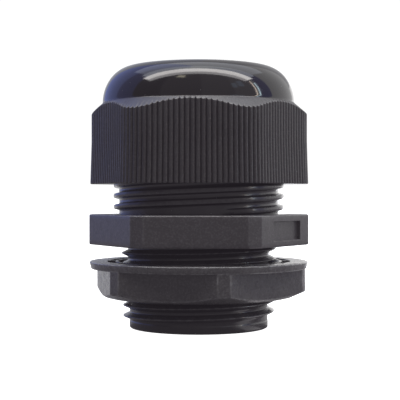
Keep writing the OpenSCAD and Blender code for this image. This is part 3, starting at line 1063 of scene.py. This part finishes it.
# Cards that keep the floor's light off the object, and a patch of lamp light on them, none seen
# themselves: name, radii in metres, turn from the front towards +X (from, to), height above the
# floor in metres, colour
CARDS = (
    ("card_near", (0.0142, 0.055), (-96, 96), 0.00002, (0.17, 0.16, 0.17)),
    ("card_near_left", (0.0142, 0.055), (-152, -96), 0.00002, (0.38, 0.38, 0.42)),
    ("card_near_right", (0.0142, 0.055), (96, 152), 0.00002, (0.55, 0.54, 0.55)),
    ("card_far", (0.055, ROOM_R), (-140, 152), 0.00002, (0.36, 0.34, 0.37)),
    ("card_left", (0.055, ROOM_R), (-178, -140), 0.00002, (0.85, 0.85, 0.88)),
    ("lamp_spill", (0.0155, 0.05), (48, 70), 0.00006, (1.2, 1.15, 1.2)),
)


def floor_card(name, radii, turns, height, colour):
    """A part of a flat ring on the floor round the object."""
    count = max(2, int((turns[1] - turns[0]) / CARD_STEP))
    turn = np.radians(np.linspace(*turns, count + 1))[None, :]
    r = np.linspace(*radii, CARD_RINGS)[:, None]
    z = np.full((CARD_RINGS, count + 1), cad_low.z + height)
    points = np.stack([r * np.sin(turn), -r * np.cos(turn), z], -1)
    patch(name, points, colour, 1.0)


FLOOR_HALF = 40.0


def floor():
    """A wide floor that is so bright that it comes out white."""
    half = FLOOR_HALF
    mesh = bpy.data.meshes.new("floor")
    corners = [(-half, -half, 0), (half, -half, 0), (half, half, 0), (-half, half, 0)]
    mesh.from_pydata(corners, [], [(0, 1, 2, 3)])
    n = Nodes("pale_floor")
    n.shader.inputs["Base Color"].default_value = (0.86, 0.86, 0.86, 1)
    n.shader.inputs["Roughness"].default_value = 0.7
    n.shader.inputs["Specular IOR Level"].default_value = 0.2
    n.shader.inputs["Emission Color"].default_value = (1, 1, 1, 1)
    n.shader.inputs["Emission Strength"].default_value = 1.1
    mesh.materials.append(n.material)
    plane = bpy.data.objects.new("floor", mesh)
    plane.location.z = cad_low.z
    bpy.context.scene.collection.objects.link(plane)


def white_world():
    """Even white light from all round."""
    world = bpy.data.worlds.new("white_room")
    world.use_nodes = True
    back = world.node_tree.nodes["Background"]
    back.inputs["Color"].default_value = (1.0, 1.0, 1.0, 1.0)
    back.inputs["Strength"].default_value = 1.05
    bpy.context.scene.world = world


# The haze that a white background lays over a picture's darkest tones: red, green, blue
VEIL = (0.0118, 0.0098, 0.0125)


def lens_veil():
    """Lifts the darkest tones of the picture."""
    view = bpy.context.scene.view_settings
    view.view_transform = "Standard"
    view.use_curve_mapping = True
    for curve, lift in zip(view.curve_mapping.curves, VEIL):
        curve.points[0].location = (0.0, lift)
    view.curve_mapping.update()


# Camera: distance from the axis and height in metres, turn from the front towards +X in degrees,
# lens and sensor in millimetres, shift in frame widths
CAMERA_DISTANCE = 0.2357
CAMERA_HEIGHT = 0.02775
CAMERA_TURN = 1.6
CAMERA_LENS = 99.0
CAMERA_SENSOR = 36.0
CAMERA_SHIFT = (0.00325, -0.0075)


def camera():
    """A level camera in front of the object."""
    azimuth = math.radians(CAMERA_TURN)
    data = bpy.data.cameras.new("camera")
    data.sensor_width = CAMERA_SENSOR
    data.lens = CAMERA_LENS
    data.shift_x, data.shift_y = CAMERA_SHIFT
    data.clip_start, data.clip_end = 0.01, 200.0
    made = bpy.data.objects.new("camera", data)
    made.location = (CAMERA_DISTANCE * math.sin(azimuth), -CAMERA_DISTANCE * math.cos(azimuth),
                     CAMERA_HEIGHT)
    made.rotation_euler = (math.radians(90), 0, azimuth)
    bpy.context.scene.collection.objects.link(made)
    bpy.context.scene.camera = made


camera()
white_world()
floor()
for row in CARDS:
    floor_card(*row)
for row in OVERHEAD:
    overhead_lamp(*row)
for row in WALLS:
    wall(*row)
lens_veil()

body_nylon = moulded("body_nylon", colour=(0.036, 0.033, 0.036), pale=(0.12, 0.118, 0.124),
                     roughness=0.38, grain=0.3, dust=0.5,
                     threads=(18.4, (0.018, 0.0165, 0.0185), 0.22), drawn=1.0)
nut_nylon = nut_plastic("nut_nylon", colour=(0.0215, 0.0195, 0.0215),
                        pale=(0.10, 0.098, 0.102), polish=(0.008, 0.0072, 0.008))
lock_nylon = moulded("lock_nylon", colour=(0.043, 0.041, 0.043), pale=(0.17, 0.17, 0.175),
                     roughness=0.29, grain=0.45, dust=0.5, drawn=1.0)
claw_nylon = moulded("claw_nylon", colour=(0.045, 0.045, 0.047), pale=(0.10, 0.10, 0.10),
                     roughness=0.45, grain=0.3, dust=0.2, drawn=0.6)
seal_rubber = rubber("seal_nitrile", colour=(0.012, 0.012, 0.013))

gland_body(body_nylon)
dome_nut(nut_nylon)
lock_nut(lock_nylon)
claw_ring(claw_nylon)
seal_insert(seal_rubber)
for number in range(len(FINGERS)):
    claw_finger(number, claw_nylon)
